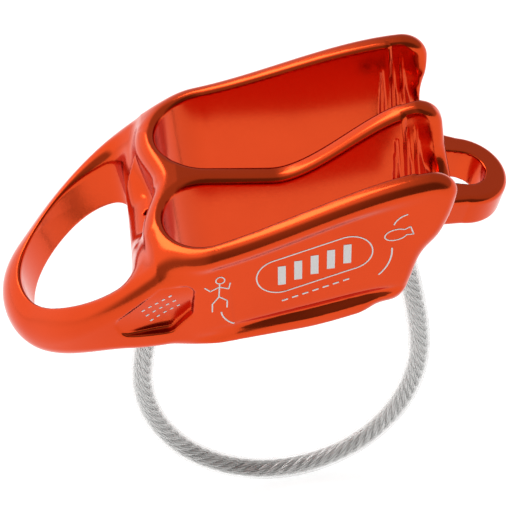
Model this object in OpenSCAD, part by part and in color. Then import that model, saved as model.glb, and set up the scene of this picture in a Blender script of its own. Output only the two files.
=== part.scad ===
// Belay device: one forged body with two rope slots, a large attachment ring and
// a small release ring, and a flexible keeper cable below it.
// X runs from the large ring to the small ring, Y across the two slots and
// Z along the slots. The body is symmetric about y = 0; its underside is z = 0.

/* [Body] */
// half width of the body at the wide end of the slots
wide_half = 20.0; // [17:0.1:23]
// half width of the body at the braking end
narrow_half = 17.8; // [15:0.1:20]
// x of the outermost point of the two rounded slot ends
lip_x = -24.6; // [-28:0.1:-22]
// x of the end wall's outer face at the braking end
end_x = 24.8; // [22:0.1:27]
// height of the outer walls at the wide end
rim_low = 20.0; // [17:0.1:23]
// extra height of the outer walls at the braking end
rim_rise = 7.8; // [3:0.1:10]
// lowest height of the middle wall
mid_low = 17.0; // [11:0.1:18]
// extra height of the middle wall at the braking end
mid_rise = 10.8; // [6:0.1:15]

/* [Slots] */
// radius of the rounded slot end
slot_r = 7.6; // [6.5:0.1:8.5]
// x of the rounded slot end's centre
slot_x = -13.4; // [-16:0.1:-11]
// half thickness of the middle wall
mid_half = 1.8; // [1.2:0.05:2.5]
// slot width at the braking end
slot_narrow = 12.6; // [11:0.1:14]
// height of the saddle between two braking horns
saddle_z = 14.7; // [12:0.1:20]
// depth of the recessed panel on each side face
panel_depth = 0.5; // [0.2:0.1:1]

/* [Large ring] */
// half width of the ring at its widest point
ring_half = 19.4; // [17:0.1:22]
// x of the ring's widest point
ring_x = -25.2; // [-31:0.1:-20]
// length of the ring's outer curve from its widest point to the tip
ring_len = 24.9; // [19:0.1:30]
// rise of the ring's top per millimetre towards the body
ring_rise = 0.7; // [0.5:0.05:1]
// height of the ring's top at the tip
ring_tip_z = 1.4; // [0:0.1:4]
// x where the ring's top starts to rise
ring_knee = -45.5; // [-48:0.1:-40]
// greatest height of the ring's top, below the slot lips
ring_top = 17.8; // [14:0.1:19]
// depth of the tip's underside below the body's underside
ring_drop = 7.2; // [3:0.1:9]
// length of the hole from its widest point to its tip
hole_len = 16.4; // [12:0.1:19]
// half width of the hole
hole_half = 14.6; // [11:0.1:16]
// x of the hole's widest point
hole_x = -30.0; // [-33:0.1:-28]
// x of the hole's flat side
hole_flat_x = -27.3; // [-27.4:0.1:-26]
// radius of the two corners at the hole's flat side
hole_corner = 2.6; // [1:0.1:2.6]

/* [Small ring] */
// inner radius of the release hole
rel_r = 3.7; // [3:0.1:5]
// width of the band around the release hole
rel_band = 3.8; // [2:0.1:5]
// x of the release hole's centre
rel_x = 27.0; // [25:0.1:31]
// height of the small ring's middle at the release hole's centre
rel_z = 9.4; // [7:0.1:14]
// thickness of the small ring
rel_t = 6.0; // [3:0.1:7]
// slope of the small ring, lower at its tip
rel_slope = 18; // [0:1:35]

/* [Keeper cable] */
// outer diameter of the clear sleeve
sleeve_d = 4.0; // [2.5:0.1:5]
// wall of the clear sleeve
sleeve_wall = 0.4; // [0.2:0.05:0.6]
// diameter of the centre strand
core_d = 0.88; // [0.6:0.02:0.94]
// diameter of each outer strand
strand_d = 0.92; // [0.6:0.02:0.94]
// radius of the circle through the outer strands' centres
pitch_r = 1.0; // [0.98:0.01:1.02]
// number of turns an outer strand makes along the loop
lay_turns = 7; // [3:1:12]
// x and z of the left exit, where the loop's bending starts
left_exit_x = -24.4; // [-26:0.1:-23]
left_exit_z = -0.9; // [-4:0.1:-0.7]
// x and z of the right exit
right_exit_x = 16.2; // [13:0.1:18]
right_exit_z = 1.6; // [0:0.1:1.7]
// lean of each bore away from the slot direction
lean_left = 3; // [0:1:12]
lean_right = 6; // [0:1:12]
// x of the loop's outermost points
loop_left = -30.2; // [-36:0.1:-25]
loop_right = 18.9; // [13:0.1:26]
// x and z of the loop's lowest point
bowl_x = -7.4; // [-12:0.1:0]
bowl_z = -59.4; // [-75:0.1:-45]

/* [Hidden] */
$fn = 64;

bore_d = sleeve_d + 0.2;
ferrule_d = bore_d - 0.02;
rope_d = 2 * pitch_r + strand_d;
left_turn_z = -32.3;
right_turn_z = -27.6;
mouth = 2.5;
bore_len = 9.2;
boss_len = 10.3;
vent_d = 1.2;
lobe_r = 9.9;
under_tilt = 39.4;

function smooth(t) = let (u = min(max(t, 0), 1)) u * u * (3 - 2 * u);
function rim_z(x) = rim_low + rim_rise * smooth((x + 20) / 41);
function mid_z(x) = mid_low + mid_rise * smooth((x + 3.2) / 24.7)
                    + (rim_low - mid_low) * min(1, max(0, (-2 - x) / 16));
function low_z(x) = 2.4 * smooth((x + 2) / 20);
function ring_top_z(x) = let (u = x - ring_knee)
  min(ring_top, ring_tip_z + 0.5 * ring_rise * (u + sqrt(u * u + 4)));
function ring_low_z(x) = -ring_drop * (1 - smooth((x + 49) / 20));
function arc(cx, cy, rx, ry, a0, a1, n) =
  [for (i = [0 : n]) let (a = a0 + (a1 - a0) * i / n) [cx + rx * cos(a), cy + ry * sin(a)]];

// ---- body ----

// side outline of the walls: lips, rim, rounded horn, end wall and underside
module wall_outline() {
  top = [for (x = [-22.5 : 1.5 : 19.5]) [x, rim_z(x)]];
  horn = arc(end_x - 4.2, rim_z(21) - 4.2, 4.2, 4.2, 80, 0, 5);
  polygon(concat([[lip_x - 0.2, rim_low - 1.9], [lip_x + 0.5, rim_low - 0.6]], top, horn,
    [[end_x + 0.4, 17], [end_x + 0.6, 12], [end_x, 8.5], [22.6, 4.6]],
    [for (x = [20 : -2 : -2]) [x, low_z(x)]], [[lip_x - 0.2, 0]]));
}

// plan of the walls: two round lobes at the wide end, tapering to the braking end
module wall_plan(inset = 0) {
  r = lobe_r;
  for (s = [-1, 1]) translate([lip_x + r, s * (wide_half - r)]) circle(r = r - inset);
  polygon([[lip_x + 2, 0], [lip_x + 1.9, 4.4], [lip_x + r, wide_half - r],
    [lip_x + r, wide_half - inset], [end_x + 1, narrow_half - inset],
    [end_x + 1, inset - narrow_half], [lip_x + r, inset - wide_half],
    [lip_x + r, r - wide_half], [lip_x + 1.9, -4.4]]);
}

// what is cut away below the outer corners of the braking end: the underside rises
// from the middle to both sides, so the outline is drawn square to that slope
module under_cut() {
  rotate([-under_tilt, 0, 0]) along_y(40)
    polygon([[4, -40], [4, -16], [10, -10], [15.6, -7.3], [18, -2.2], [21.5, 1.6],
      [25, 7.2], [29, 9.3], [29, -40]]);
}

module along_y(half) {
  rotate([90, 0, 0]) translate([0, 0, -half]) linear_extrude(2 * half) children();
}

// one rope slot, seen from above
module slot_plan() {
  x1 = end_x - 2.8;
  y1 = mid_half + slot_narrow;
  c = 2.3;
  translate([slot_x, mid_half + slot_r]) circle(r = slot_r);
  translate([x1 - c, mid_half + c]) circle(r = c);
  translate([x1 - c, y1 - c]) circle(r = c);
  polygon([[slot_x, mid_half], [x1 - c, mid_half], [x1, mid_half + c], [x1, y1 - c],
    [x1 - c, y1], [slot_x, mid_half + 2 * slot_r]]);
}

// V shaped braking notch in the end wall, between two horns
module notch_outline() {
  c = mid_half + slot_narrow / 2;
  w = slot_narrow / 2 - 0.2;
  polygon(concat([[c - w, 34], [c - w, rim_z(20) - 4]],
    arc(c, saddle_z + 3, 3, 3, 200, 340, 10), [[c + w, rim_z(20) - 4], [c + w, 34]]));
}

module ring_plan() {
  polygon(concat(arc(ring_x, 0, ring_len, ring_half, 90, 270, 48),
    [[lip_x + lobe_r, -ring_half], [lip_x + lobe_r, ring_half]]));
}

// side outline of the large ring: thin, low and rounded at its tip
module ring_outline() {
  tip = ring_x - ring_len - 0.3;  // just clear of the plan outline
  xs = concat([for (u = [0 : 0.25 : 1]) tip + 3 * u * u], [for (x = [tip + 4.5 : 2 : -30]) x]);
  middle = [for (x = xs) (ring_top_z(x) + ring_low_z(x)) / 2];
  half = [for (x = xs) let (u = max(0, 1 - (x - tip) / 3))
    (ring_top_z(x) - ring_low_z(x)) * (0.2 + 0.3 * sqrt(1 - u * u))];
  n = len(xs) - 1;
  full_x = ring_knee + (ring_top - ring_tip_z) / ring_rise;
  polygon(concat([for (i = [0 : n]) [xs[i], middle[i] + half[i]]],
    [[full_x, ring_top], [-12, ring_top], [-12, 0], [-28.6, 0]],
    [for (i = [n : -1 : 0]) [xs[i], middle[i] - half[i]]]));
}

// the web between hole and slots dips between the two slot ends
module web_dip() {
  translate([-30, 0, 0]) rotate([90, 0, 90]) linear_extrude(18)
    polygon([[-11, 19], [-9.5, 17], [-5.5, 13.6], [-4, 12.8], [4, 12.8], [5.5, 13.6],
      [9.5, 17], [11, 19]]);
}

// hole of the large ring: round towards the tip, flat against the body
module hole_plan() {
  c = hole_corner;
  polygon(concat(arc(hole_x, 0, hole_len, hole_half, 90, 270, 48),
    arc(hole_flat_x - c, -hole_half + c, c, c, -90, 0, 10),
    arc(hole_flat_x - c, hole_half - c, c, c, 0, 90, 10)));
}

module large_ring() {
  difference() {
    intersection() {
      translate([0, 0, -10]) linear_extrude(40) ring_plan();
      along_y(25) ring_outline();
    }
    translate([0, 0, -12]) linear_extrude(44) hole_plan();
    web_dip();
  }
}

// small ring: a U that slopes down away from the end wall
module small_ring() {
  translate([rel_x, 0, rel_z]) rotate([0, rel_slope, 0]) difference() {
    union() {
      cylinder(r = rel_r + rel_band, h = rel_t, center = true);
      translate([-6, -rel_r - rel_band, -rel_t / 2]) cube([6, 2 * (rel_r + rel_band), rel_t]);
    }
    cylinder(r = rel_r, h = rel_t + 2, center = true);
    translate([-6.5, -rel_r, -rel_t]) cube([6.5, 2 * rel_r, 2 * rel_t]);
  }
}

module at_left_bore() {
  translate([left_exit_x, 0, left_exit_z]) rotate([0, lean_left, 0]) children();
}

module at_right_bore() {
  translate([right_exit_x, 0, right_exit_z]) rotate([0, -lean_right, 0]) children();
}

// recessed panel between the rim bead and the lower lip
module panel_outline() {
  top = [for (x = [-15 : 2 : 19]) [x, rim_z(x) - 3.6]];
  polygon(concat([[-15.8, 3.6], [-15.8, 13.7]], top, [[21.7, 21.4], [21.5, 19.8],
    [17.9, 16.2], [16, 13], [15.2, 8.6], [13.3, 6.8], [4.2, 4.4], [-6.3, 3.3]]));
}

// three sided pocket on the shoulder between ring arm and body
module pocket_outline() {
  polygon([[-17.9, 14.3], [-18.5, 8.2], [-22.1, 3.6], [-30.2, 3.9], [-31.3, 7.7], [-22.8, 14.5]]);
}

// vertical braking grooves in the slot walls near the braking end
module grooves() {
  y1 = mid_half + slot_narrow;
  for (x = [17, 19.7]) for (s = [-1, 1]) for (y = [mid_half + 0.45, y1 - 0.35]) {
    translate([x, s * y, -1]) cylinder(r = 0.85, h = 22);
    translate([x, s * y, 21]) cylinder(r1 = 0.85, r2 = 0.1, h = 3.2);
  }
}

module walls() {
  difference() {
    intersection() {
      translate([0, 0, -1]) linear_extrude(34) wall_plan();
      along_y(25) wall_outline();
    }
    for (s = [0, 1]) mirror([0, s, 0]) under_cut();
  }
}

module body() color([0.9, 0.27, 0.08]) difference() {
  union() {
    difference() {
      union() {
        walls();
        large_ring();
      }
      for (s = [0, 1]) mirror([0, s, 0]) translate([0, 0, -3]) linear_extrude(42) slot_plan();
      // the middle wall has its own, deeper curve
      along_y(5) polygon(concat([for (x = [-19 : 1.5 : 21.5]) [x, mid_z(x)]],
        [[end_x - 1.2, rim_z(21) - 1], [end_x, 34], [-19, 34]]));
      for (s = [0, 1]) mirror([0, s, 0]) translate([end_x - 4.4, 0, 0])
        rotate([90, 0, 90]) linear_extrude(8) notch_outline();
      grooves();
      // side panels
      difference() {
        along_y(25) panel_outline();
        translate([0, 0, -2]) linear_extrude(40) wall_plan(panel_depth);
      }
      for (s = [-1, 1]) translate([0, s * 22.3, 0]) along_y(3) pocket_outline();
    }
    difference() {
      small_ring();
      translate([end_x - 12, -10, -1]) cube([10.6, 20, 20]);
    }
    at_right_bore() translate([0, 0, mouth]) cylinder(r = 3, h = boss_len - mouth);
  }
  at_left_bore() cylinder(d = bore_d, h = bore_len);
  // the blind left bore is vented between the two slot ends
  at_left_bore() cylinder(d = vent_d, h = bore_len + 6);
  at_right_bore() cylinder(d = bore_d, h = bore_len);
}

// ---- keeper cable ----

function bez(a, b, c, d, t) =
  (1-t)*(1-t)*(1-t) * a + 3*(1-t)*(1-t)*t * b + 3*(1-t)*t*t * c + t*t*t * d;

way_in = [-sin(lean_left), -cos(lean_left)];
way_out = [-sin(lean_right), cos(lean_right)];
left_exit = [left_exit_x, left_exit_z];
right_exit = [right_exit_x, right_exit_z];
// centreline of the loop in the x z plane, from the left exit round to the right exit
line = concat(
  [for (i = [0 : 13]) bez(left_exit, left_exit + 9.5 * way_in,
    [loop_left, left_turn_z + 9.5], [loop_left, left_turn_z], i / 14)],
  [for (i = [0 : 19]) let (a = 180 + 90 * i / 20)
    [bowl_x + (bowl_x - loop_left) * cos(a), left_turn_z + (left_turn_z - bowl_z) * sin(a)]],
  [for (i = [0 : 19]) let (a = 270 + 90 * i / 20)
    [bowl_x + (loop_right - bowl_x) * cos(a), right_turn_z + (right_turn_z - bowl_z) * sin(a)]],
  [for (i = [0 : 14]) bez([loop_right, right_turn_z], [loop_right, right_turn_z + 9.5],
    right_exit - 9.5 * way_out, right_exit, i / 14)]);
last = len(line) - 1;
length_at = [for (i = 0, s = 0; i <= last;
  s = s + (i < last ? norm(line[i + 1] - line[i]) : 0), i = i + 1) s];

function way(i) = i == 0 ? way_in : i == last ? way_out
  : (line[i + 1] - line[i - 1]) / norm(line[i + 1] - line[i - 1]);
// a point at distance r and angle a around the centreline at station i
function around(i, r, a) = let (w = way(i))
  [line[i][0] + r * cos(a) * w[1], r * sin(a), line[i][1] - r * cos(a) * w[0]];

// a closed bar that follows the loop; the strand angle turns along the lay
module bar(dia, offset_r, start, turns, sides) {
  pts = [for (i = [0 : last]) let (f = start + 360 * turns * length_at[i] / length_at[last])
    let (c = around(i, offset_r, f), o = around(i, 0, 0))
    for (k = [0 : sides - 1]) c + around(i, dia / 2, 360 * k / sides) - o];
  walls = [for (i = [0 : last - 1]) for (k = [0 : sides - 1])
    let (k1 = (k + 1) % sides, a = i * sides, b = a + sides)
    for (f = [[a + k, a + k1, b + k1], [a + k, b + k1, b + k]]) f];
  polyhedron(pts, concat(walls, [[for (k = [sides - 1 : -1 : 0]) k]],
    [[for (k = [0 : sides - 1]) last * sides + k]]));
}

module sleeve() color([0.86, 0.88, 0.9, 0.5]) {
  n = 20;
  m = (last + 1) * n;
  r1 = sleeve_d / 2;
  r0 = r1 - sleeve_wall;
  outer = [for (i = [0 : last]) for (k = [0 : n - 1]) around(i, r1, 360 * k / n)];
  inner = [for (i = [0 : last]) for (k = [0 : n - 1]) around(i, r0, 360 * k / n)];
  skin = [for (i = [0 : last - 1]) for (k = [0 : n - 1])
    let (k1 = (k + 1) % n, a = i * n, b = a + n)
    for (f = [[a + k, a + k1, b + k1], [a + k, b + k1, b + k],
              [m + a + k, m + b + k1, m + a + k1], [m + a + k, m + b + k, m + b + k1]]) f];
  ends = [for (k = [0 : n - 1]) let (k1 = (k + 1) % n, b = last * n)
    for (f = [[k, m + k, m + k1], [k, m + k1, k1],
              [b + k, m + b + k1, m + b + k], [b + k, b + k1, m + b + k1]]) f];
  polyhedron(concat(outer, inner), concat(skin, ends));
}

module core_strand() color([0.72, 0.73, 0.75]) bar(core_d, 0, 0, 0, 8);

module outer_strands() color([0.78, 0.79, 0.81])
  for (k = [0 : 5]) bar(strand_d, pitch_r, 60 * k, lay_turns, 6);

// the fixed ends inside the bores stop at a round seat, which clears the swinging loop
module seat() {
  sphere(r = sleeve_d / 2 + 0.1);
}

module sleeve_end() {
  difference() {
    cylinder(d = sleeve_d, h = 4.5);
    translate([0, 0, -1]) cylinder(d = sleeve_d - 2 * sleeve_wall, h = 9);
    seat();
  }
}

module rope_end(h) {
  difference() {
    union() {
      cylinder(d = core_d, h = h);
      for (k = [0 : 5]) rotate([0, 0, 60 * k]) translate([pitch_r, 0, 0])
        cylinder(d = strand_d, h = h);
    }
    seat();
  }
}

// crimped ferrule pressed into the bore around the strand ends
module ferrule(h) {
  translate([0, 0, 4.6]) difference() {
    cylinder(d = ferrule_d, h = h);
    translate([0, 0, -1]) cylinder(d = rope_d + 0.04, h = h + 2);
  }
}

module sleeve_end_left() color([0.86, 0.88, 0.9, 0.5]) at_left_bore() sleeve_end();
module rope_end_left() color([0.78, 0.79, 0.81]) at_left_bore() rope_end(8.8);
module ferrule_left() color([0.6, 0.6, 0.62]) at_left_bore() ferrule(4);
module sleeve_end_right() color([0.86, 0.88, 0.9, 0.5]) at_right_bore() sleeve_end();
module rope_end_right() color([0.78, 0.79, 0.81]) at_right_bore() rope_end(8.8);
module ferrule_right() color([0.6, 0.6, 0.62]) at_right_bore() ferrule(4);

body();
sleeve();
core_strand();
outer_strands();
sleeve_end_left();
rope_end_left();
ferrule_left();
sleeve_end_right();
rope_end_right();
ferrule_right();
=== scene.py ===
"""Looks of the belay device: a forged anodised body and a sleeved wire keeper loop.

Lengths are in millimetres until a mesh is made, and the frame is the CAD frame:
+X from the large ring to the small ring, +Y across the two slots, +Z along the slots.
"""

import math

import bpy
import numpy as np
import openvdb as vdb
from mathutils import Matrix, Vector


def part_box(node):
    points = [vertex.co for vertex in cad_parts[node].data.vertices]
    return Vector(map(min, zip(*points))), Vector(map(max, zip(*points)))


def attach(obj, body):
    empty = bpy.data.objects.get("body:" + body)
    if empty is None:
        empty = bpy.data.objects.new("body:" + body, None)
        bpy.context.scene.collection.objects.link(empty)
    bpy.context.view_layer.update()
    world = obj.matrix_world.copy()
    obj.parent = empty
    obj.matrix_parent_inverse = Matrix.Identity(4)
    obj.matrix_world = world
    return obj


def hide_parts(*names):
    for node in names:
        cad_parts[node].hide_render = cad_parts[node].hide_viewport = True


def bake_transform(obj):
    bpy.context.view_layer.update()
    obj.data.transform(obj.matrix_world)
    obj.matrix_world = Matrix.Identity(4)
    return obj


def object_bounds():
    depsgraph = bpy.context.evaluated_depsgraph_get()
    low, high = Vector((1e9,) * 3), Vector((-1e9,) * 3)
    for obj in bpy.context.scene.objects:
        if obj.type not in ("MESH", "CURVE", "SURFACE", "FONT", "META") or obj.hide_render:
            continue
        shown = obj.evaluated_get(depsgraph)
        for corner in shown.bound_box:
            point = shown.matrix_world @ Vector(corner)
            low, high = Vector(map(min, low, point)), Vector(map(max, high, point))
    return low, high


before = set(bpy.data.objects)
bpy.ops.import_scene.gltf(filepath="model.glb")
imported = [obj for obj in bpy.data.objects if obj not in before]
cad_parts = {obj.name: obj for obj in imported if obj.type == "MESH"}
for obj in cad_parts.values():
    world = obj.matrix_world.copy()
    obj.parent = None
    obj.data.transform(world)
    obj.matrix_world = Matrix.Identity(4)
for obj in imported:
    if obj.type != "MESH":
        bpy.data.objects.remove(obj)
cad_low, cad_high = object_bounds()

MM = 0.001

# ---------------------------------------------------------------- driving dimensions
# walls
WIDE_HALF, NARROW_HALF = 20.0, 17.8     # half width of the body at both ends
LOBE_X, LOBE_Y, LOBE_R = -14.7, 10.1, 9.9   # plan circle of a rounded slot end
CORE_X = -22.4                          # where the wall between the two lobes ends
END_X = 24.8                            # outer face of the end wall
RIM_LOW, RIM_RISE = 20.0, 7.75          # outer walls' height and its rise
MID_LOW, MID_RISE = 17.0, 10.8          # middle wall's height and its rise
UNDER_TILT = math.radians(39.4)         # slope of the underside at the braking end
# what the underside cut leaves, seen along that slope: x, and height square to the slope
UNDER_CURVE = [(4, -16), (10, -10), (15.6, -7.3), (18, -2.2), (21.5, 1.6), (25, 7.2), (30, 9.6)]
PANEL_DEPTH, GROOVE_DEPTH = 0.6, 0.55   # recessed panel and lower groove of a side face
# side outline (x, z) of the pocket on the shoulder between ring arm and wall
POCKET = [(-19.2, 12.8), (-19.9, 8.5), (-22.8, 5.4), (-29.0, 5.6), (-29.4, 6.8), (-22.4, 12.8)]
POCKET_Y, POCKET_DEEPER = 19.2, 1.3     # y of the pocket's floor, and how much lower it gets
# slots
SLOT_X, SLOT_R = -13.4, 7.6             # centre and radius of the rounded slot end
MID_HALF = 1.8                          # half thickness of the middle wall
SLOT_NARROW, SLOT_CORNER = 12.6, 2.3    # slot width and corner radius at the braking end
SLOT_END = END_X - 2.8                  # inner face of the end wall
FLUTES = ((16.6, 22.6, 0.05), (18.7, 24.6, 0.02), (20.6, 25.2, -0.01))  # foot x, tip z, lean
FLUTE_HALF, FLUTE_DEPTH = 0.75, 0.55
NOTCH_X, NOTCH_Z, NOTCH_R = 19.5, 20.3, 5.7     # start of the notch, and its round bottom
# large ring
RING_X, RING_LEN, RING_HALF = -25.2, 24.9, 19.4     # widest point, length from it, half width
RING_KNEE, RING_RISE = -45.5, 0.70      # where the top starts to rise, and its slope
RING_TIP_Z, RING_TOP = 1.4, 17.2        # height of the top at the tip, and its limit
RING_FOOT, RING_DROP = -49.0, 7.2       # where the underside starts to rise, and its depth
WEB_DIP = 5.0                           # depth of the web's dip between the slot ends
HOLE_X, HOLE_LEN, HOLE_HALF = -30.0, 16.4, 14.6     # widest point, length from it, half width
HOLE_FLAT, HOLE_CORNER, HOLE_DRAFT = -27.3, 2.7, 0.15
# small ring
SMALL_X, SMALL_Z, SMALL_R, SMALL_BAND, SMALL_T = 27.0, 9.4, 3.7, 3.8, 6.0
SMALL_SLOPE = math.radians(18)
SMALL_START = 22.6                      # the ring's root, inside the end wall
# bores for the keeper cable
BORE_R, BORE_LEN = 2.1, 9.2
VENT_R, VENT_LEN = 0.6, BORE_LEN + 6
BOSS_R, BOSS_START, BOSS_LEN = 3.0, 2.5, 10.3
LEFT_LEAN, RIGHT_LEAN = math.radians(3), math.radians(-6)
LEFT_EXIT, RIGHT_EXIT = (-24.4, -0.9), (16.2, 1.6)


# ---------------------------------------------------------------- distance fields
def smooth(t):
    t = np.clip(t, 0, 1)
    return t * t * (3 - 2 * t)


def cut(a, b, r):
    """Intersection of two distance fields with an edge rounded to radius r."""
    rounded = np.hypot(np.maximum(a + r, 0), np.maximum(b + r, 0))
    return np.minimum(-r, np.maximum(a, b)) + rounded


def join(a, b, r):
    """Union of two distance fields with a fillet of radius r."""
    return -cut(-a, -b, r)


def oval(x, y, a, b):
    """Distance to an oval of half lengths a and b."""
    u, v = np.abs(x / a) + 1e-6, np.abs(y / b) + 1e-6
    k = np.hypot(u, v)
    slope = np.hypot(u / a, v / b) / k
    return (k - 1) / slope


def curve_height(points, x):
    """Height at x of a smooth curve through the points, and its slope."""
    px, py = np.array(points).T
    slope = np.gradient(py, px)
    i = np.clip(np.searchsorted(px, x) - 1, 0, len(px) - 2)
    h = px[i + 1] - px[i]
    t = np.clip((x - px[i]) / h, 0, 1)
    y = (
        py[i] * (1 + 2 * t) * (1 - t) ** 2
        + h * slope[i] * t * (1 - t) ** 2
        + py[i + 1] * t * t * (3 - 2 * t)
        + h * slope[i + 1] * t * t * (t - 1)
    )
    d = (6 * (py[i + 1] - py[i]) * t * (1 - t)) / h
    d = d + slope[i] * (1 - 4 * t + 3 * t * t) + slope[i + 1] * (3 * t * t - 2 * t)
    return y, d


def polygon(points, x, y):
    """Distance to a closed polygon, negative inside."""
    best = np.full(np.shape(x), 1e9)
    inside = np.zeros(np.shape(x), bool)
    for (ax, ay), (bx, by) in zip(points, points[1:] + points[:1]):
        ex, ey = bx - ax, by - ay
        wx, wy = x - ax, y - ay
        t = np.clip((wx * ex + wy * ey) / (ex * ex + ey * ey), 0, 1)
        best = np.minimum(best, np.hypot(wx - ex * t, wy - ey * t))
        crosses = (ay > y) != (by > y)
        if ey:
            inside ^= crosses & (x < ax + ex * (y - ay) / ey)
    return np.where(inside, -best, best)


def rim_height(x):
    """Height of the outer walls' rim."""
    return RIM_LOW + RIM_RISE * smooth((x + 20) / 41)


def mid_height(x):
    """Height of the middle wall, which meets the web again at the wide end."""
    left = 0.5 * (-2 - x + np.hypot(-2 - x, 1.5)) / 16
    left = (RIM_LOW - MID_LOW) * np.minimum(left, 1)
    return MID_LOW + MID_RISE * smooth((x + 3.2) / 24.7) + left


def top_height(x, y):
    w = smooth((y - 4.5) / 5)
    return mid_height(x) * (1 - w) + rim_height(x) * w


def bottom_height(x):
    return 2.4 * smooth((x + 2) / 20)


def face_relief(x, z):
    """How far the outer side face lies below its plan outline."""
    top, low = rim_height(x), bottom_height(x)
    along = smooth((x + 19) / 6) * (1 - smooth((x - 6) / 16))
    below_bead = smooth((top - z - 2.0) / 2.0)
    above_lip = smooth((z - low - 2.2) / 1.6)
    panel = PANEL_DEPTH * along * below_bead * above_lip
    groove_z = 1.8 + 0.105 * (x + 19)
    ends = smooth((x + 20) / 5) * (1 - smooth((x - 10) / 6))
    groove = GROOVE_DEPTH * ends * np.exp(-(((z - groove_z) / 1.0) ** 2))
    return panel + groove


def walls(x, y, z):
    """The four walls as one block, before the slots are cut."""
    # plan: a round lobe at the wide end, then a tapering side
    side_slope = (WIDE_HALF - NARROW_HALF) / (END_X + 1 - LOBE_X)
    side = (y - WIDE_HALF + side_slope * (x - LOBE_X)) / math.hypot(1, side_slope)
    lobe = np.hypot(x - LOBE_X, y - LOBE_Y) - LOBE_R
    plan = np.minimum(lobe, np.maximum(LOBE_X - x, side))
    core = np.maximum(CORE_X - x, y - LOBE_Y)
    plan = join(plan, core, 1.8)
    plan = plan + face_relief(x, z)
    # side view: crest, end wall, underside
    step = 0.1
    slope = (top_height(x + step, y) - top_height(x - step, y)) / (2 * step)
    crest = (z - top_height(x, y)) / np.hypot(1, slope)
    end = x - END_X - 0.5 * np.exp(-(((z - 13) / 5) ** 2))
    under = bottom_height(x) - z
    lip = 1 - smooth((x + 22) / 9)
    side_view = cut(cut(crest, end, 4.2), under, 6.0)
    upper = smooth((z - 8) / 6)
    solid = cut(plan, side_view, 0.9 + (1.2 + 1.0 * lip) * upper)
    # the underside rises towards the outer corners of the braking end
    w = z * math.cos(UNDER_TILT) - y * math.sin(UNDER_TILT)
    height, slope = curve_height(UNDER_CURVE, x)
    corner = (height - w) / np.hypot(1, slope)
    return cut(solid, corner, 1.2)


def large_ring(x, y, z):
    """The attachment ring, low at its tip, and the web that joins it to the walls."""
    outer = np.where(x < RING_X, oval(x - RING_X, y, RING_LEN, RING_HALF), y - RING_HALF)
    outer = outer + 1.5 * smooth((x + 24) / 9)
    rise = x - RING_KNEE
    top = RING_TIP_Z + 0.5 * RING_RISE * (rise + np.hypot(rise, 2))
    # the web between hole and slots dips between the two slot ends
    limit = RING_TOP - WEB_DIP * (1 - smooth((y - 3) / 9))
    above = (z - np.minimum(top, limit)) / math.hypot(1, RING_RISE)
    below = -RING_DROP * (1 - smooth((x - RING_FOOT) / 20)) - z
    near_body = smooth((x + 44) / 16)
    solid = cut(np.maximum(outer, x + 14), above, 4.0 - 1.0 * near_body)
    solid = cut(solid, below, 3.6 - 1.6 * near_body)
    length = HOLE_LEN + HOLE_DRAFT * np.minimum(z - 2, 0)
    hole = np.where(x < HOLE_X, oval(x - HOLE_X, y, length, HOLE_HALF), y - HOLE_HALF)
    hole = cut(hole, x - HOLE_FLAT, HOLE_CORNER)
    # the hole's upper edge is crisp at the tip and swells to a large round at the web
    upper = smooth((z - top + 11) / 6)
    swell = (4.0 - 1.8 * smooth((y - 8) / 5)) * smooth((x + 41) / 13)
    return cut(solid, -hole, 0.7 + swell * upper)


def small_ring(x, y, z):
    """The release ring: a flat U that slopes down away from the end wall."""
    dx, dz = x - SMALL_X, z - SMALL_Z
    u = dx * math.cos(SMALL_SLOPE) - dz * math.sin(SMALL_SLOPE)
    w = dx * math.sin(SMALL_SLOPE) + dz * math.cos(SMALL_SLOPE)
    reach = np.where(u > 0, np.hypot(u, y), y)
    flare = 0.22 * np.maximum(-u, 0)
    band = cut(reach - SMALL_R - SMALL_BAND - flare, np.abs(w) - SMALL_T / 2, 1.1)
    band = cut(band, SMALL_R - reach, 0.3)
    return np.maximum(band, SMALL_START - x)


def bore_axis(x, y, z, at, lean):
    """Distance from a bore's axis, and height along it."""
    dx, dz = x - at[0], z - at[1]
    sin, cos = math.sin(lean), math.cos(lean)
    along = dx * sin + dz * cos
    return np.hypot(dx * cos - dz * sin, y), along


def slots(x, y, z):
    """One rope slot: round at the wide end, tapering to the fluted braking end."""
    far = MID_HALF + 2 * SLOT_R
    taper = (2 * SLOT_R - SLOT_NARROW) / (SLOT_END - SLOT_CORNER - SLOT_X)
    outer = y - far + taper * (x - SLOT_X)
    straight = cut(cut(x - SLOT_END, MID_HALF - y, SLOT_CORNER), outer, SLOT_CORNER)
    straight = np.maximum(straight, SLOT_X - x)
    rounded = np.hypot(x - SLOT_X, y - MID_HALF - SLOT_R) - SLOT_R
    return np.minimum(straight, rounded) - flutes(x, z)


def flutes(x, z):
    """Depth of the upright braking grooves, which run out to points below the rim."""
    depth = 0
    for foot, tip, lean in FLUTES:
        fade = np.sqrt(np.clip((tip - z) / 9, 0, 1))
        off = np.abs(x - foot - lean * (z - 10)) / np.maximum(FLUTE_HALF * fade, 1e-3)
        depth = depth + FLUTE_DEPTH * np.clip(1 - off * off, 0, 1) ** 2 * fade
    return depth


def notch(x, y, z):
    """The braking notch in the end wall, between two horns: round below, flared above."""
    dy, dz = y - MID_HALF - SLOT_NARROW / 2, z - NOTCH_Z
    half = NOTCH_R + 0.6 * smooth(dz / 5)
    shape = np.where(dz < 0, np.hypot(dy, dz) - NOTCH_R, np.abs(dy) - half)
    return np.maximum(shape, NOTCH_X - x)


def pocket(x, y, z):
    """The shallow three-sided pocket in each side face; it gets deeper downwards."""
    slant = smooth((13.5 - z) / 8) * (0.4 + 0.6 * smooth((x + 32) / 10))
    floor = POCKET_Y - POCKET_DEEPER * slant
    return cut(polygon(POCKET, x, z) - 1.5, floor - y, 0.35)


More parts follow.
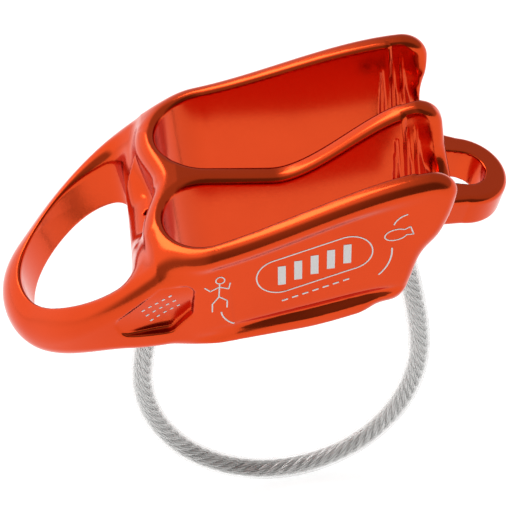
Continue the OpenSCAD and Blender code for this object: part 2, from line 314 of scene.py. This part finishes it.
def body_field(x, y, z):
    """The whole forging: below zero in the metal, above zero in the air."""
    y = np.abs(y)
    reach, along = bore_axis(x, y, z, LEFT_EXIT, LEFT_LEAN)
    r_reach, r_along = bore_axis(x, y, z, RIGHT_EXIT, RIGHT_LEAN)
    near_mid = 1 - smooth((y - 3) / 3)
    near_lip = 1 - smooth((x + 21) / 6)
    solid = join(walls(x, y, z), large_ring(x, y, z), 1.4 + 1.1 * smooth((y - 12) / 5))
    solid = cut(solid, -slots(x, y, z), 0.8 + 0.6 * np.maximum(near_mid, 0.7 * near_lip))
    solid = cut(solid, -notch(x, y, z), 1.5)
    solid = cut(solid, -pocket(x, y, z), 0.3)
    solid = join(solid, small_ring(x, y, z), 0.8)
    boss = cut(cut(r_reach - BOSS_R, BOSS_START - r_along, 1.0), r_along - BOSS_LEN, 1.0)
    solid = join(solid, boss, 1.0)
    left_bore = np.maximum(reach - BORE_R, along - BORE_LEN)
    vent = np.maximum(reach - VENT_R, along - VENT_LEN)
    right_bore = np.maximum(r_reach - BORE_R, r_along - BORE_LEN)
    solid = cut(solid, -left_bore, 0.35)
    solid = cut(solid, -vent, 0.1)
    return cut(solid, -right_bore, 0.35)


def gradient(field, p, step):
    """Slope of the field at the points p, from differences over twice the step."""
    g = np.empty_like(p)
    for k in range(3):
        d = np.zeros(3)
        d[k] = step
        a, b = p + d, p - d
        g[:, k] = (field(*a.T) - field(*b.T)) / (2 * step)
    return g


def field_mesh(name, field, low, high, step):
    """A closed mesh of the surface where the field is zero, symmetric about y = 0."""
    axes = [np.arange(a, b + step, step) for a, b in zip(low, high)]
    half = np.empty([len(a) for a in axes], np.float32)
    for k, xk in enumerate(axes[0]):
        y, z = np.meshgrid(axes[1], axes[2], indexing="ij")
        half[k] = field(np.full(y.shape, xk), y, z)
    values = np.concatenate([half[:, :0:-1], half], axis=1)
    grid = vdb.FloatGrid(10.0)
    grid.copyFromArray(values)
    points, quads = grid.convertToQuads(0.0)
    origin = np.array([axes[0][0], -axes[1][-1], axes[2][0]])
    p = points.astype(float) * step + origin
    for _ in range(3):
        g = gradient(field, p, 0.04)
        length2 = np.maximum((g * g).sum(1), 0.2)
        move = -(field(*p.T) / length2)[:, None] * g
        p += np.clip(move, -0.3, 0.3)
    g = gradient(field, p, 0.12)
    normals = g / np.maximum(np.linalg.norm(g, axis=1), 1e-9)[:, None]
    mesh = bpy.data.meshes.new(name)
    mesh.from_pydata(p * MM, [], quads.tolist())
    mesh.polygons.foreach_set("use_smooth", np.ones(len(mesh.polygons), bool))
    mesh.normals_split_custom_set_from_vertices(normals.tolist())
    mesh.update()
    obj = bpy.data.objects.new(name, mesh)
    bpy.context.scene.collection.objects.link(obj)
    return obj


STEP = 0.36
body = field_mesh("forged_body", body_field, (-51.6, 0, -8.4), (35.6, 21.2, 29.2), STEP)
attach(body, "body")
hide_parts("body")


# ---------------------------------------------------------------- materials
def new_material(name):
    mat = bpy.data.materials.new(name)
    mat.use_nodes = True
    return mat, mat.node_tree.nodes, mat.node_tree.links


def noise(nodes, links, scale, detail, stretch=(1, 1, 1)):
    """A noise texture in object space; scale is in features per metre."""
    place = nodes.new("ShaderNodeTexCoord")
    mapping = nodes.new("ShaderNodeMapping")
    mapping.inputs["Scale"].default_value = stretch
    texture = nodes.new("ShaderNodeTexNoise")
    texture.inputs["Scale"].default_value = scale
    texture.inputs["Detail"].default_value = detail
    links.new(place.outputs["Object"], mapping.inputs["Vector"])
    links.new(mapping.outputs["Vector"], texture.inputs["Vector"])
    return texture.outputs["Fac"]


def ramp(nodes, links, value, low, high):
    """Maps a 0 to 1 value to the range low to high."""
    node = nodes.new("ShaderNodeMapRange")
    node.inputs["From Min"].default_value = 0.3
    node.inputs["From Max"].default_value = 0.7
    node.inputs["To Min"].default_value = low
    node.inputs["To Max"].default_value = high
    links.new(value, node.inputs["Value"])
    return node.outputs["Result"]


def mix_colour(nodes, links, factor, a, b):
    node = nodes.new("ShaderNodeMix")
    node.data_type = "RGBA"
    links.new(factor, node.inputs["Factor"])
    for socket, value in zip((node.inputs[6], node.inputs[7]), (a, b)):
        if isinstance(value, tuple):
            socket.default_value = (*value, 1)
        else:
            links.new(value, socket)
    return node.outputs[2]


def bump(nodes, links, height, strength, distance):
    node = nodes.new("ShaderNodeBump")
    node.inputs["Strength"].default_value = strength
    node.inputs["Distance"].default_value = distance * MM
    links.new(height, node.inputs["Height"])
    return node.outputs["Normal"]


def anodised_orange():
    mat, nodes, links = new_material("anodised_orange")
    shader = nodes["Principled BSDF"]
    cloud = noise(nodes, links, 90, 3)
    colour = mix_colour(nodes, links, cloud, (0.60, 0.050, 0.009), (0.68, 0.064, 0.012))
    links.new(colour, shader.inputs["Base Color"])
    shader.inputs["Metallic"].default_value = 1.0
    # forging and tumbling leave a fine satin grain with faint upright draw lines
    grain = noise(nodes, links, 2600, 2)
    drawn = noise(nodes, links, 900, 2, (1, 1, 0.08))
    links.new(ramp(nodes, links, grain, 0.15, 0.21), shader.inputs["Roughness"])
    fine = bump(nodes, links, grain, 0.03, 0.05)
    lines = nodes.new("ShaderNodeBump")
    lines.inputs["Strength"].default_value = 0.03
    lines.inputs["Distance"].default_value = 0.06 * MM
    links.new(drawn, lines.inputs["Height"])
    links.new(fine, lines.inputs["Normal"])
    links.new(lines.outputs["Normal"], shader.inputs["Normal"])
    shader.inputs["Coat Weight"].default_value = 0.06
    shader.inputs["Coat Roughness"].default_value = 0.15
    return mat


def steel_wire():
    mat, nodes, links = new_material("steel_wire")
    shader = nodes["Principled BSDF"]
    tone = noise(nodes, links, 700, 3)
    links.new(mix_colour(nodes, links, tone, (0.50, 0.50, 0.49), (0.82, 0.82, 0.81)),
              shader.inputs["Base Color"])
    shader.inputs["Metallic"].default_value = 1.0
    links.new(ramp(nodes, links, tone, 0.22, 0.42), shader.inputs["Roughness"])
    return mat


def clear_plastic():
    mat, nodes, links = new_material("clear_plastic")
    shader = nodes["Principled BSDF"]
    shader.inputs["Base Color"].default_value = (0.93, 0.93, 0.92, 1)
    shader.inputs["Specular IOR Level"].default_value = 0.5
    haze = noise(nodes, links, 160, 4)
    links.new(ramp(nodes, links, haze, 0.08, 0.24), shader.inputs["Roughness"])
    # soft plastic is clear face on and milky where it is seen along its wall
    facing = nodes.new("ShaderNodeLayerWeight")
    facing.inputs["Blend"].default_value = 0.35
    milk = nodes.new("ShaderNodeMath")
    milk.operation = "MULTIPLY_ADD"
    milk.inputs[1].default_value = 0.45
    links.new(facing.outputs["Facing"], milk.inputs[0])
    links.new(ramp(nodes, links, haze, 0.02, 0.14), milk.inputs[2])
    links.new(milk.outputs[0], shader.inputs["Alpha"])
    links.new(bump(nodes, links, haze, 0.2, 0.1), shader.inputs["Normal"])
    return mat


def ferrule_metal():
    mat, nodes, links = new_material("ferrule_metal")
    shader = nodes["Principled BSDF"]
    crimp = noise(nodes, links, 1100, 3)
    links.new(mix_colour(nodes, links, crimp, (0.52, 0.52, 0.53), (0.66, 0.66, 0.67)),
              shader.inputs["Base Color"])
    shader.inputs["Metallic"].default_value = 1.0
    links.new(ramp(nodes, links, crimp, 0.3, 0.5), shader.inputs["Roughness"])
    links.new(bump(nodes, links, crimp, 0.2, 0.08), shader.inputs["Normal"])
    return mat


def etched_metal():
    mat, nodes, links = new_material("etched_marks")
    shader = nodes["Principled BSDF"]
    speck = noise(nodes, links, 4000, 2)
    links.new(mix_colour(nodes, links, speck, (0.70, 0.68, 0.67), (0.84, 0.83, 0.82)),
              shader.inputs["Base Color"])
    links.new(ramp(nodes, links, speck, 0.45, 0.65), shader.inputs["Roughness"])
    shader.inputs["Metallic"].default_value = 0.2
    links.new(bump(nodes, links, speck, 0.2, 0.02), shader.inputs["Normal"])
    return mat


def wear(obj, material):
    """Gives a piece or a CAD node one material in place of what it had."""
    obj.data.materials.clear()
    obj.data.materials.append(material)


wear(body, anodised_orange())
for node in ("ferrule_left", "ferrule_right"):
    wear(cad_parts[node], ferrule_metal())


# ---------------------------------------------------------------- etched marks, all generic
MARK_TILT = math.radians(12)            # slope of the badge and the mitten
BADGE = (1.5, 14.2)                     # x and z of the badge's middle on the near face


def near_face(x, z):
    """y of the near side face, found by halving between the wall's inside and the air."""
    inside, outside = np.full(x.shape, 17.4), np.full(x.shape, 21.0)
    for _ in range(24):
        middle = (inside + outside) / 2
        in_air = body_field(x, middle, z) > 0
        outside = np.where(in_air, middle, outside)
        inside = np.where(in_air, inside, middle)
    return -outside


def line(*corners):
    """Points every 0.3 mm along straight stretches between the corners."""
    corners = np.array(corners, float)
    runs = []
    for a, b in zip(corners, corners[1:]):
        t = np.linspace(0, 1, max(2, int(np.hypot(*(b - a)) / 0.3)))[:, None]
        runs.append(a + (b - a) * t)
    return np.concatenate(runs)


def arc(middle, radii, start, end):
    """Points along an oval arc between two angles in degrees."""
    angle = np.radians(np.linspace(start, end, 40))
    return np.stack([middle[0] + radii[0] * np.cos(angle), middle[1] + radii[1] * np.sin(angle)],
                    axis=1)


def tilted(points, middle):
    """Turns points about the origin by the marks' slope, then moves them to the middle."""
    c, s = math.cos(MARK_TILT), math.sin(MARK_TILT)
    return points @ np.array([[c, s], [-s, c]]) + np.array(middle)


def stroke(points, width):
    """Vertices and quads of a flat band along the points, just proud of the near face."""
    way = np.gradient(points, axis=0)
    way /= np.linalg.norm(way, axis=1)[:, None] + 1e-9
    across = np.stack([-way[:, 1], way[:, 0]], axis=1) * width / 2
    edge = np.concatenate([points - across, points + across])
    y = near_face(edge[:, 0], edge[:, 1]) - 0.03
    n = len(points)
    quads = [[i, i + 1, n + i + 1, n + i] for i in range(n - 1)]
    return np.stack([edge[:, 0], y, edge[:, 1]], axis=1), np.array(quads)


def badge_strokes():
    """A rounded badge with five slanted bars, and a row of dashes below it."""
    half, r = 9.4, 3.7
    flat = half - r
    outline = np.concatenate([arc((flat, 0), (r, r), -90, 90), arc((-flat, 0), (r, r), 90, 270),
                              line((-flat, -r), (flat, -r))])
    yield tilted(outline, BADGE), 0.22
    for k in range(5):
        x = 2.7 * (k - 2)
        yield tilted(line((x - 0.6, -2.0), (x + 0.6, 2.0)), BADGE), 1.25
    for k in range(7):
        x = 1.7 * (k - 3) - 2.0
        yield tilted(line((x, -5.6), (x + 1.0, -5.6)), BADGE), 0.3


def climber_strokes():
    """A plain stick figure on a rope."""
    yield arc((-13.4, 14.6), (0.7, 0.7), 0, 360), 0.2
    yield line((-13.6, 13.8), (-14.0, 11.0)), 0.22
    yield line((-13.7, 13.2), (-15.2, 12.6), (-16.0, 13.6)), 0.22
    yield line((-13.7, 13.2), (-12.3, 12.4), (-11.9, 13.6)), 0.22
    yield line((-14.0, 11.0), (-15.2, 9.6), (-15.4, 7.8)), 0.22
    yield line((-14.0, 11.0), (-12.8, 9.8), (-13.0, 8.2)), 0.22
    yield arc((-9.4, 7.4), (4.6, 4.2), 180, 232), 0.25


def hand_strokes():
    """A plain mitten that holds a rope."""
    yield tilted(arc((0, 0), (1.8, 1.15), 30, 330), (14.6, 18.0)), 0.2
    yield tilted(line((1.5, 0.6), (2.6, 0.9), (2.6, -0.9), (1.5, -0.6)), (14.6, 18.0)), 0.2
    yield arc((17.2, 19.2), (3.0, 3.0), 100, 160), 0.22
    yield arc((7.0, 15.2), (6.8, 7.5), -50, 0), 0.25


def pocket_strokes():
    """Three rows of ticks in the pocket."""
    for row in range(3):
        for k in range(5):
            x = -26.4 + 1.15 * k + 0.5 * row
            z = 9.0 + 0.75 * k - 1.5 * row
            yield line((x, z), (x + 0.5, z + 0.33)), 0.28


def etched_marks():
    bands = []
    for group in (badge_strokes(), climber_strokes(), hand_strokes(), pocket_strokes()):
        for points, width in group:
            vertices, quads = stroke(points, width)
            bands.append((vertices, quads, 0))
    return tube_mesh("etched_marks", bands, caps=False)


# ---------------------------------------------------------------- keeper cable
loop_low, loop_high = (np.array(v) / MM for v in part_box("sleeve"))
SLEEVE_R, SLEEVE_IN = loop_high[1], loop_high[1] - 0.4
SLEEVE_SIDES = 28
LOOP_LEFT, LOOP_RIGHT = loop_low[0] + SLEEVE_R, loop_high[0] - SLEEVE_R
BOWL_X, BOWL_Z = -7.4, loop_low[2] + SLEEVE_R   # the loop's lowest point
LEFT_TURN_Z, RIGHT_TURN_Z = -32.3, -27.6        # where the loop is widest on each side
PULL = 9.5                              # how far the curves run on straight from the exits
ROPE_IN, SLEEVE_IN_BORE = 8.6, 4.5      # how far the rope and its sleeve go into a bore
LAY, WIRE_LAY = 12.5, 7.5               # length of one turn of a strand, and of a wire
STRAND_PITCH, WIRE_PITCH = 1.02, 0.36   # radius of the circle of strands, and of wires
CORE_R, WIRE_R = 0.42, 0.18


def bezier(a, b, c, d, t):
    """Points at t on the cubic curve with control points a, b, c and d."""
    a, b, c, d = (np.array(p, float) for p in (a, b, c, d))
    t = t[:, None]
    return (1 - t) ** 3 * a + 3 * (1 - t) ** 2 * t * b + 3 * (1 - t) * t * t * c + t**3 * d


def cable_line(spacing):
    """Evenly spaced points (x, z) from inside the left bore, round the loop, to the right bore."""
    into = np.array([-math.sin(LEFT_LEAN), -math.cos(LEFT_LEAN)])
    out = np.array([math.sin(RIGHT_LEAN), math.cos(RIGHT_LEAN)])
    left, right = np.array(LEFT_EXIT), np.array(RIGHT_EXIT)
    t = np.linspace(0, 1, 200)
    quarter = t[:, None] * math.pi / 2
    rows = [
        left - into * ROPE_IN * (1 - t[:, None]),
        bezier(left, left + PULL * into, (LOOP_LEFT, LEFT_TURN_Z + PULL),
               (LOOP_LEFT, LEFT_TURN_Z), t),
        np.hstack([BOWL_X - (BOWL_X - LOOP_LEFT) * np.cos(quarter),
                   LEFT_TURN_Z - (LEFT_TURN_Z - BOWL_Z) * np.sin(quarter)]),
        np.hstack([BOWL_X + (LOOP_RIGHT - BOWL_X) * np.sin(quarter),
                   RIGHT_TURN_Z - (RIGHT_TURN_Z - BOWL_Z) * np.cos(quarter)]),
        bezier((LOOP_RIGHT, RIGHT_TURN_Z), (LOOP_RIGHT, RIGHT_TURN_Z + PULL),
               right - PULL * out, right, t),
        right + out * ROPE_IN * t[:, None],
    ]
    points = np.concatenate(rows)
    length = np.concatenate([[0], np.cumsum(np.hypot(*np.diff(points, axis=0).T))])
    at = np.linspace(0, length[-1], int(length[-1] / spacing))
    return np.stack([np.interp(at, length, points[:, k]) for k in (0, 1)], axis=1), at


def sweep(line, offset, radius, sides):
    """Vertices and quads of a tube around an offset copy of the line."""
    way = np.gradient(line, axis=0)
    way /= np.linalg.norm(way, axis=1)[:, None]
    side = np.stack([way[:, 1], np.zeros(len(line)), -way[:, 0]], axis=1)
    across = np.array([0.0, 1.0, 0.0])
    centre = np.stack([line[:, 0], np.zeros(len(line)), line[:, 1]], axis=1)
    centre = centre + offset[0][:, None] * side + offset[1][:, None] * across
    angle = 2 * math.pi * np.arange(sides) / sides
    ring = np.cos(angle)[None, :, None] * side[:, None] + np.sin(angle)[None, :, None] * across
    vertices = (centre[:, None] + radius * ring).reshape(-1, 3)
    i, k = np.meshgrid(np.arange(len(line) - 1), np.arange(sides), indexing="ij")
    a, b = i * sides + k, i * sides + (k + 1) % sides
    quads = np.stack([a, a + sides, b + sides, b], axis=-1).reshape(-1, 4)
    return vertices, quads


def tube_mesh(name, tubes, caps=True):
    """One object from tubes or bands, each a list of vertices, its quads and its sides."""
    vertices, faces, count = [], [], 0
    for points, quads, sides in tubes:
        faces += (quads + count).tolist()
        if caps:
            faces.append([count + k for k in range(sides)])
            faces.append([count + len(points) - 1 - k for k in range(sides)])
        vertices.append(points)
        count += len(points)
    mesh = bpy.data.meshes.new(name)
    mesh.from_pydata(np.concatenate(vertices) * MM, [], faces)
    mesh.polygons.foreach_set("use_smooth", np.ones(len(mesh.polygons), bool))
    mesh.update()
    obj = bpy.data.objects.new(name, mesh)
    bpy.context.scene.collection.objects.link(obj)
    return obj


def wire_rope():
    """Six strands of six wires around a core strand, laid opposite ways."""
    line, at = cable_line(0.5)
    tubes = [(*sweep(line, (0 * at, 0 * at), CORE_R, 6), 6)]
    for strand in range(6):
        lay = strand * math.pi / 3 - 2 * math.pi * at / LAY
        for wire in range(6):
            turn = lay + wire * math.pi / 3 + 2 * math.pi * at / WIRE_LAY
            u = STRAND_PITCH * np.cos(lay) + WIRE_PITCH * np.cos(turn)
            v = STRAND_PITCH * np.sin(lay) + WIRE_PITCH * np.sin(turn)
            tubes.append((*sweep(line, (u, v), WIRE_R, 5), 5))
    return tube_mesh("keeper_wire_rope", tubes)


def clear_sleeve():
    """A thin-walled tube round the rope, with its two ends inside the bores."""
    line, at = cable_line(0.8)
    bare = ROPE_IN - SLEEVE_IN_BORE
    covered = (at > bare) & (at < at[-1] - bare)
    line, at = line[covered], at[covered]
    outer, quads = sweep(line, (0 * at, 0 * at), SLEEVE_R, SLEEVE_SIDES)
    inner, _ = sweep(line, (0 * at, 0 * at), SLEEVE_IN, SLEEVE_SIDES)
    ends = []
    for first in (0, (len(line) - 1) * SLEEVE_SIDES):
        for k in range(SLEEVE_SIDES):
            a, b = first + k, first + (k + 1) % SLEEVE_SIDES
            rim = [a, b, b + len(outer), a + len(outer)]
            ends.append(rim if first == 0 else rim[::-1])
    faces = np.concatenate([quads, quads[:, ::-1] + len(outer), np.array(ends)])
    tube = (np.concatenate([outer, inner]), faces, SLEEVE_SIDES)
    return tube_mesh("keeper_clear_sleeve", [tube], caps=False)


def bend_at_exits(obj):
    """Only bakes the object's placement into its mesh; the cable is not bent here."""
    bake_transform(obj)


marks = etched_marks()
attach(marks, "body")
wear(marks, etched_metal())

rope = wire_rope()
bend_at_exits(rope)
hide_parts("core_strand", "outer_strands", "rope_end_left", "rope_end_right")
wear(rope, steel_wire())

sleeve = clear_sleeve()
bend_at_exits(sleeve)
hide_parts("sleeve", "sleeve_end_left", "sleeve_end_right")
wear(sleeve, clear_plastic())


# ---------------------------------------------------------------- stage, light, camera
def plain_floor(height):
    """A white sheet of paper that glows a little, so that it stays pale in every view."""
    mesh = bpy.data.meshes.new("floor")
    s = 3.0
    mesh.from_pydata([(-s, -s, height), (s, -s, height), (s, s, height), (-s, s, height)],
                     [], [(0, 1, 2, 3)])
    floor = bpy.data.objects.new("floor", mesh)
    bpy.context.scene.collection.objects.link(floor)
    mat, nodes, links = new_material("floor_paper")
    shader = nodes["Principled BSDF"]
    shader.inputs["Base Color"].default_value = (0.5, 0.5, 0.5, 1)
    shader.inputs["Roughness"].default_value = 1.0
    shader.inputs["Specular IOR Level"].default_value = 0.0
    shader.inputs["Emission Color"].default_value = (1, 1, 1, 1)
    shader.inputs["Emission Strength"].default_value = 0.75
    mesh.materials.append(mat)


plain_floor(cad_low.z - 0.5 * MM)


def area_light(name, place, target, size, power):
    """A rectangular light at the place, facing the target."""
    data = bpy.data.lights.new(name, "AREA")
    data.shape = "RECTANGLE"
    data.size, data.size_y = size
    data.energy = power
    light = bpy.data.objects.new(name, data)
    bpy.context.scene.collection.objects.link(light)
    light.location = place
    direction = Vector(target) - Vector(place)
    light.rotation_euler = direction.to_track_quat("-Z", "Y").to_euler()


area_light("overhead", (-0.35, 0.30, 0.60), (0, 0, 0), (0.5, 0.4), 2.5)


def studio_world():
    """A soft box fills the left side of the room; the camera's side stays darker."""
    world = bpy.data.worlds.new("studio")
    world.use_nodes = True
    nodes, links = world.node_tree.nodes, world.node_tree.links
    place = nodes.new("ShaderNodeTexCoord")
    axes = nodes.new("ShaderNodeSeparateXYZ")
    links.new(place.outputs["Generated"], axes.inputs[0])

    def fade(value, start, end, low, high):
        node = nodes.new("ShaderNodeMapRange")
        node.interpolation_type = "SMOOTHSTEP"
        for name, number in zip(("From Min", "From Max", "To Min", "To Max"),
                                (start, end, low, high)):
            node.inputs[name].default_value = number
        links.new(value, node.inputs["Value"])
        return node.outputs["Result"]

    left = fade(axes.outputs["X"], 0.12, -0.50, 0.46, 1.30)
    front = fade(axes.outputs["Y"], -0.15, -0.60, 1.0, 0.32)
    product = nodes.new("ShaderNodeMath")
    product.operation = "MULTIPLY"
    links.new(left, product.inputs[0])
    links.new(front, product.inputs[1])
    links.new(product.outputs[0], nodes["Background"].inputs["Strength"])
    nodes["Background"].inputs["Color"].default_value = (1, 0.99, 0.98, 1)
    bpy.context.scene.world = world


studio_world()
bpy.context.scene.view_settings.view_transform = "Standard"

# the camera looks along +Y, down at 47 degrees, and is rolled a little
ELEVATION, ROLL = math.radians(47), math.radians(7.9)
DISTANCE = 391 * MM
AIM = Vector((-7.5, 0.16, -1.78)) * MM
back = Vector((0, -math.cos(ELEVATION), math.sin(ELEVATION)))
level_up = Vector((0, math.sin(ELEVATION), math.cos(ELEVATION)))
level_right = Vector((1, 0, 0))
right = level_right * math.cos(ROLL) - level_up * math.sin(ROLL)
up = level_right * math.sin(ROLL) + level_up * math.cos(ROLL)
camera_data = bpy.data.cameras.new("camera")
camera_data.lens = 165.8
camera_data.sensor_width = 36
camera_data.clip_start = 0.01
camera = bpy.data.objects.new("camera", camera_data)
bpy.context.scene.collection.objects.link(camera)
facing = Matrix((right, up, back)).transposed().to_4x4()
camera.matrix_world = Matrix.Translation(AIM + back * DISTANCE) @ facing
bpy.context.scene.camera = camera
